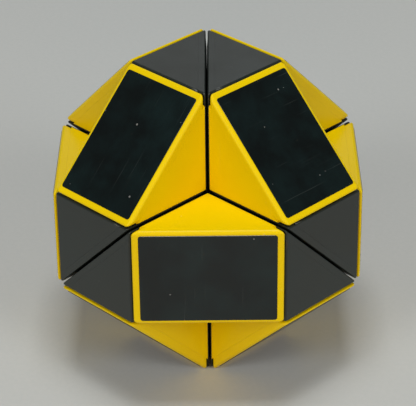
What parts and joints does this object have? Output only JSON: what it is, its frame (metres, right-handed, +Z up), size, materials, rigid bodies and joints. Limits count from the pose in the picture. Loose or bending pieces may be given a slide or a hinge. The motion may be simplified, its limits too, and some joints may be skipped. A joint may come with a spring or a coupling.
{
  "type": "twisty snake puzzle",
  "caption": "Snake puzzle of triangular wedges in two colours on a chain of turning joints, folded into a hollow-cornered ball.",
  "frame": {"origin": "centre of the ball's bounding box at the level of the surface that it rests on", "axes": "+Z up; X and Y square to the ball's upright black squares, with the pit between +X and -Y as the front"},
  "size_m": [0.0658, 0.0658, 0.0657],
  "materials": {
    "yellow_plastic": "gloss",
    "black_plastic": "gloss",
    "steel": "satin"
  },
  "bodies": {
    "wedge_01": {"wedge_01_shell": "yellow_plastic", "wedge_01_cover": "yellow_plastic"},
    "wedge_02": {"wedge_02_shell": "black_plastic", "wedge_02_cover": "black_plastic", "wedge_02_screw_set": "steel"},
    "wedge_03": {"wedge_03_shell": "yellow_plastic", "wedge_03_cover": "yellow_plastic"},
    "wedge_04": {"wedge_04_shell": "black_plastic", "wedge_04_cover": "black_plastic", "wedge_04_screw_set": "steel"},
    "wedge_05": {"wedge_05_shell": "yellow_plastic", "wedge_05_cover": "yellow_plastic"},
    "wedge_06": {"wedge_06_shell": "black_plastic", "wedge_06_cover": "black_plastic", "wedge_06_screw_set": "steel"},
    "wedge_07": {"wedge_07_shell": "yellow_plastic", "wedge_07_cover": "yellow_plastic"},
    "wedge_08": {"wedge_08_shell": "black_plastic", "wedge_08_cover": "black_plastic", "wedge_08_screw_set": "steel"},
    "wedge_09": {"wedge_09_shell": "yellow_plastic", "wedge_09_cover": "yellow_plastic"},
    "wedge_10": {"wedge_10_shell": "black_plastic", "wedge_10_cover": "black_plastic", "wedge_10_screw_set": "steel"},
    "wedge_11": {"wedge_11_shell": "yellow_plastic", "wedge_11_cover": "yellow_plastic"},
    "wedge_12": {"wedge_12_shell": "black_plastic", "wedge_12_cover": "black_plastic", "wedge_12_screw_set": "steel"},
    "wedge_13": {"wedge_13_shell": "yellow_plastic", "wedge_13_cover": "yellow_plastic"},
    "wedge_14": {"wedge_14_shell": "black_plastic", "wedge_14_cover": "black_plastic", "wedge_14_screw_set": "steel"},
    "wedge_15": {"wedge_15_shell": "yellow_plastic", "wedge_15_cover": "yellow_plastic"},
    "wedge_16": {"wedge_16_shell": "black_plastic", "wedge_16_cover": "black_plastic", "wedge_16_screw_set": "steel"},
    "wedge_17": {"wedge_17_shell": "yellow_plastic", "wedge_17_cover": "yellow_plastic"},
    "wedge_18": {"wedge_18_shell": "black_plastic", "wedge_18_cover": "black_plastic", "wedge_18_screw_set": "steel"},
    "wedge_19": {"wedge_19_shell": "yellow_plastic", "wedge_19_cover": "yellow_plastic"},
    "wedge_20": {"wedge_20_shell": "black_plastic", "wedge_20_cover": "black_plastic", "wedge_20_screw_set": "steel"},
    "wedge_21": {"wedge_21_shell": "yellow_plastic", "wedge_21_cover": "yellow_plastic"},
    "wedge_22": {"wedge_22_shell": "black_plastic", "wedge_22_cover": "black_plastic", "wedge_22_screw_set": "steel"},
    "wedge_23": {"wedge_23_shell": "yellow_plastic", "wedge_23_cover": "yellow_plastic"},
    "wedge_24": {"wedge_24_shell": "black_plastic", "wedge_24_cover": "black_plastic", "wedge_24_screw_set": "steel"}
  },
  "joints": [
    {"name": "turn_01", "type": "hinge", "parent": "wedge_02", "child": "wedge_01", "pos_m": [0.022, -0.011, 0.03285], "axis": [0, 1, 0], "range_deg": [-180, 180]},
    {"name": "turn_02", "type": "hinge", "parent": "wedge_03", "child": "wedge_02", "pos_m": [0.022, 0, 0.02185], "axis": [0, 0, 1], "range_deg": [-180, 180]},
    {"name": "turn_03", "type": "hinge", "parent": "wedge_04", "child": "wedge_03", "pos_m": [0.011, 0, 0.01085], "axis": [1, 0, 0], "range_deg": [-180, 180]},
    {"name": "turn_04", "type": "hinge", "parent": "wedge_05", "child": "wedge_04", "pos_m": [0, 0.011, 0.01085], "axis": [0, 1, 0], "range_deg": [-180, 180]},
    {"name": "turn_05", "type": "hinge", "parent": "wedge_06", "child": "wedge_05", "pos_m": [0, 0.022, 0.02185], "axis": [0, 0, -1], "range_deg": [-180, 180]},
    {"name": "turn_06", "type": "hinge", "parent": "wedge_07", "child": "wedge_06", "pos_m": [0.011, 0.022, 0.03285], "axis": [1, 0, 0], "range_deg": [-180, 180]},
    {"name": "turn_07", "type": "hinge", "parent": "wedge_08", "child": "wedge_07", "pos_m": [0.022, 0.011, 0.03285], "axis": [0, -1, 0], "range_deg": [-180, 180]},
    {"name": "turn_08", "type": "hinge", "parent": "wedge_09", "child": "wedge_08", "pos_m": [0.022, 0, 0.04385], "axis": [0, 0, -1], "range_deg": [-180, 180]},
    {"name": "turn_09", "type": "hinge", "parent": "wedge_10", "child": "wedge_09", "pos_m": [0.011, 0, 0.05485], "axis": [-1, 0, 0], "range_deg": [-180, 180]},
    {"name": "turn_10", "type": "hinge", "parent": "wedge_11", "child": "wedge_10", "pos_m": [0, 0.011, 0.05485], "axis": [0, -1, 0], "range_deg": [-180, 180]},
    {"name": "turn_11", "type": "hinge", "parent": "wedge_12", "child": "wedge_11", "pos_m": [0, 0.022, 0.04385], "axis": [0, 0, 1], "range_deg": [-180, 180]},
    {"name": "turn_12", "type": "hinge", "parent": "wedge_13", "child": "wedge_12", "pos_m": [-0.011, 0.022, 0.03285], "axis": [-1, 0, 0], "range_deg": [-180, 180]},
    {"name": "turn_13", "type": "hinge", "parent": "wedge_14", "child": "wedge_13", "pos_m": [-0.022, 0.011, 0.03285], "axis": [0, 1, 0], "range_deg": [-180, 180]},
    {"name": "turn_14", "type": "hinge", "parent": "wedge_15", "child": "wedge_14", "pos_m": [-0.022, 0, 0.04385], "axis": [0, 0, 1], "range_deg": [-180, 180]},
    {"name": "turn_15", "type": "hinge", "parent": "wedge_16", "child": "wedge_15", "pos_m": [-0.011, 0, 0.05485], "axis": [1, 0, 0], "range_deg": [-180, 180]},
    {"name": "turn_16", "type": "hinge", "parent": "wedge_17", "child": "wedge_16", "pos_m": [0, -0.011, 0.05485], "axis": [0, 1, 0], "range_deg": [-180, 180]},
    {"name": "turn_17", "type": "hinge", "parent": "wedge_18", "child": "wedge_17", "pos_m": [0, -0.022, 0.04385], "axis": [0, 0, -1], "range_deg": [-180, 180]},
    {"name": "turn_18", "type": "hinge", "parent": "wedge_19", "child": "wedge_18", "pos_m": [-0.011, -0.022, 0.03285], "axis": [1, 0, 0], "range_deg": [-180, 180]},
    {"name": "turn_19", "type": "hinge", "parent": "wedge_20", "child": "wedge_19", "pos_m": [-0.022, -0.011, 0.03285], "axis": [0, -1, 0], "range_deg": [-180, 180]},
    {"name": "turn_20", "type": "hinge", "parent": "wedge_21", "child": "wedge_20", "pos_m": [-0.022, 0, 0.02185], "axis": [0, 0, -1], "range_deg": [0, 90]},
    {"name": "turn_21", "type": "hinge", "parent": "wedge_22", "child": "wedge_21", "pos_m": [-0.011, 0, 0.01085], "axis": [-1, 0, 0], "range_deg": [0, 90]},
    {"name": "turn_22", "type": "hinge", "parent": "wedge_22", "child": "wedge_23", "pos_m": [0, -0.011, 0.01085], "axis": [0, 1, 0], "range_deg": [-180, 180]},
    {"name": "turn_23", "type": "hinge", "parent": "wedge_23", "child": "wedge_24", "pos_m": [0, -0.022, 0.02185], "axis": [0, 0, -1], "range_deg": [-180, 180]}
  ],
  "couplings": [
    {"joint": "turn_01", "follows": "turn_21", "ratio": 1},
    {"joint": "turn_02", "follows": "turn_20", "ratio": 1},
    {"joint": "turn_03", "follows": "turn_21", "ratio": 1},
    {"joint": "turn_04", "follows": "turn_20", "ratio": 1},
    {"joint": "turn_05", "follows": "turn_21", "ratio": 1},
    {"joint": "turn_06", "follows": "turn_20", "ratio": 1},
    {"joint": "turn_07", "follows": "turn_21", "ratio": 1},
    {"joint": "turn_08", "follows": "turn_20", "ratio": 1},
    {"joint": "turn_09", "follows": "turn_21", "ratio": 1},
    {"joint": "turn_10", "follows": "turn_20", "ratio": 1},
    {"joint": "turn_11", "follows": "turn_21", "ratio": 1},
    {"joint": "turn_12", "follows": "turn_20", "ratio": 1},
    {"joint": "turn_13", "follows": "turn_21", "ratio": 1},
    {"joint": "turn_14", "follows": "turn_20", "ratio": 1},
    {"joint": "turn_15", "follows": "turn_21", "ratio": 1},
    {"joint": "turn_16", "follows": "turn_20", "ratio": 1},
    {"joint": "turn_17", "follows": "turn_21", "ratio": 1},
    {"joint": "turn_18", "follows": "turn_20", "ratio": 1},
    {"joint": "turn_19", "follows": "turn_21", "ratio": 1},
    {"joint": "turn_22", "follows": "turn_20", "ratio": 1},
    {"joint": "turn_23", "follows": "turn_21", "ratio": 1}
  ]
}
